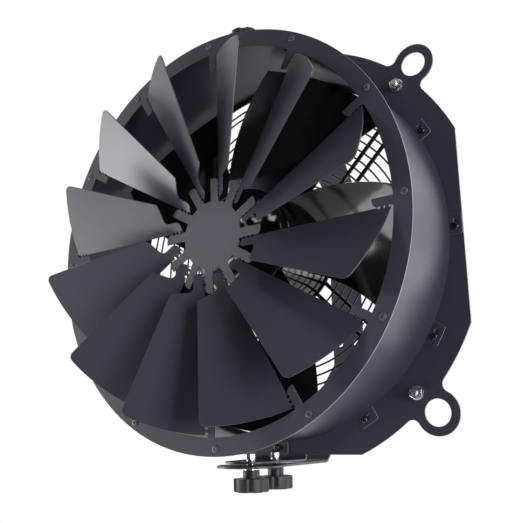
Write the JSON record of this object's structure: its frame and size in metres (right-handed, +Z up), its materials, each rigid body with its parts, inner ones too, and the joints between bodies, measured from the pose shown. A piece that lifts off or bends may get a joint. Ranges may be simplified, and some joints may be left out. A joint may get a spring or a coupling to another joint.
{
  "type": "destratification fan",
  "caption": "Wall-mounted fan with a round guide of bent sheet vanes, a drum, a back plate with lifting lugs and a swivelling console",
  "frame": {"origin": "centre of the wall bracket's four holes, on its wall face", "axes": "+Y into the wall, +Z up, +X to the right seen from the front"},
  "size_m": [0.505, 0.3857, 0.5836],
  "materials": {
    "sheet_paint": "fine-textured powder coat",
    "guard_paint": "satin",
    "impeller_paint": "semi-gloss",
    "stator_casting": "cast",
    "bearing_steel": "ground",
    "winding_copper": "varnished copper wire",
    "zinc_hardware": "zinc plated",
    "rivet_metal": "mill",
    "knob_plastic": "moulded",
    "gland_plastic": "moulded"
  },
  "bodies": {
    "bracket": {"wall_bracket": "sheet_paint"},
    "housing": {"back_plate": "sheet_paint", "drum": "sheet_paint", "guide_ring": "sheet_paint", "guide_hub": "sheet_paint", "ring_rivets": "rivet_metal", "drum_screws": "zinc_hardware", "guard_arms": "guard_paint", "guard_rings": "guard_paint", "guard_skirt": "guard_paint", "guard_bolts": "zinc_hardware", "guard_nuts": "zinc_hardware", "guard_washers": "zinc_hardware", "motor_plate": "guard_paint", "motor_stator": "stator_casting", "front_bearing": "bearing_steel", "rear_bearing": "bearing_steel", "stator_core": "bearing_steel", "stator_winding": "winding_copper", "motor_screws": "zinc_hardware", "cable_gland": "gland_plastic", "swivel_bolts": "zinc_hardware", "head_washers": "zinc_hardware", "spacer_washers": "zinc_hardware", "knob_washers": "zinc_hardware"},
    "impeller_unit": {"motor_shaft": "bearing_steel", "rotor_can": "impeller_paint", "impeller": "impeller_paint"},
    "vane_01_body": {"vane_01": "sheet_paint"},
    "vane_02_body": {"vane_02": "sheet_paint"},
    "vane_03_body": {"vane_03": "sheet_paint"},
    "vane_04_body": {"vane_04": "sheet_paint"},
    "vane_05_body": {"vane_05": "sheet_paint"},
    "vane_06_body": {"vane_06": "sheet_paint"},
    "vane_07_body": {"vane_07": "sheet_paint"},
    "vane_08_body": {"vane_08": "sheet_paint"},
    "vane_09_body": {"vane_09": "sheet_paint"},
    "vane_10_body": {"vane_10": "sheet_paint"},
    "vane_11_body": {"vane_11": "sheet_paint"},
    "vane_12_body": {"vane_12": "sheet_paint"},
    "pivot_knob_top_body": {"pivot_knob_top": "knob_plastic"},
    "lock_knob_top_body": {"lock_knob_top": "knob_plastic"},
    "pivot_knob_bottom_body": {"pivot_knob_bottom": "knob_plastic"},
    "lock_knob_bottom_body": {"lock_knob_bottom": "knob_plastic"}
  },
  "joints": [
    {"name": "pan_swivel", "type": "hinge", "parent": "bracket", "child": "housing", "pos_m": [0, -0.2535, 0], "axis": [0, 0, 1], "range_deg": [-25, 25]},
    {"name": "impeller_spin", "type": "hinge", "parent": "housing", "child": "impeller_unit", "pos_m": [0, -0.2, 0], "axis": [0, -1, 0], "continuous": true},
    {"name": "vane_01_bend", "type": "hinge", "parent": "housing", "child": "vane_01_body", "pos_m": [0.012, -0.32425, 0.00019], "axis": [0.0157, 0, -0.9999], "range_deg": [-37, 13]},
    {"name": "vane_02_bend", "type": "hinge", "parent": "housing", "child": "vane_02_body", "pos_m": [0.01049, -0.32425, -0.00584], "axis": [-0.4863, 0, -0.8738], "range_deg": [-35, 15]},
    {"name": "vane_03_bend", "type": "hinge", "parent": "housing", "child": "vane_03_body", "pos_m": [0.00616, -0.32425, -0.0103], "axis": [-0.8581, 0, -0.5135], "range_deg": [-36, 14]},
    {"name": "vane_04_bend", "type": "hinge", "parent": "housing", "child": "vane_04_body", "pos_m": [0.00019, -0.32425, -0.012], "axis": [-0.9999, 0, -0.0157], "range_deg": [-34, 16]},
    {"name": "vane_05_bend", "type": "hinge", "parent": "housing", "child": "vane_05_body", "pos_m": [-0.00584, -0.32425, -0.01049], "axis": [-0.8738, 0, 0.4863], "range_deg": [-35, 15]},
    {"name": "vane_06_bend", "type": "hinge", "parent": "housing", "child": "vane_06_body", "pos_m": [-0.0103, -0.32425, -0.00616], "axis": [-0.5135, 0, 0.8581], "range_deg": [-36, 14]},
    {"name": "vane_07_bend", "type": "hinge", "parent": "housing", "child": "vane_07_body", "pos_m": [-0.012, -0.32425, -0.00019], "axis": [-0.0157, 0, 0.9999], "range_deg": [-39, 11]},
    {"name": "vane_08_bend", "type": "hinge", "parent": "housing", "child": "vane_08_body", "pos_m": [-0.01049, -0.32425, 0.00584], "axis": [0.4863, 0, 0.8738], "range_deg": [-38, 12]},
    {"name": "vane_09_bend", "type": "hinge", "parent": "housing", "child": "vane_09_body", "pos_m": [-0.00616, -0.32425, 0.0103], "axis": [0.8581, 0, 0.5135], "range_deg": [-41, 9]},
    {"name": "vane_10_bend", "type": "hinge", "parent": "housing", "child": "vane_10_body", "pos_m": [-0.00019, -0.32425, 0.012], "axis": [0.9999, 0, 0.0157], "range_deg": [-31, 19]},
    {"name": "vane_11_bend", "type": "hinge", "parent": "housing", "child": "vane_11_body", "pos_m": [0.00584, -0.32425, 0.01049], "axis": [0.8738, 0, -0.4863], "range_deg": [-34, 16]},
    {"name": "vane_12_bend", "type": "hinge", "parent": "housing", "child": "vane_12_body", "pos_m": [0.0103, -0.32425, 0.00616], "axis": [0.5135, 0, -0.8581], "range_deg": [-39, 11]},
    {"name": "pivot_knob_top_turn", "type": "hinge", "parent": "housing", "child": "pivot_knob_top_body", "pos_m": [0, -0.2535, 0.2678], "axis": [0, 0, 1], "range_deg": [0, 180]},
    {"name": "lock_knob_top_turn", "type": "hinge", "parent": "housing", "child": "lock_knob_top_body", "pos_m": [0, -0.203, 0.2678], "axis": [0, 0, 1], "range_deg": [0, 180]},
    {"name": "pivot_knob_bottom_turn", "type": "hinge", "parent": "housing", "child": "pivot_knob_bottom_body", "pos_m": [0, -0.2535, -0.2678], "axis": [0, 0, -1], "range_deg": [0, 180]},
    {"name": "lock_knob_bottom_turn", "type": "hinge", "parent": "housing", "child": "lock_knob_bottom_body", "pos_m": [0, -0.203, -0.2678], "axis": [0, 0, -1], "range_deg": [0, 180]}
  ]
}
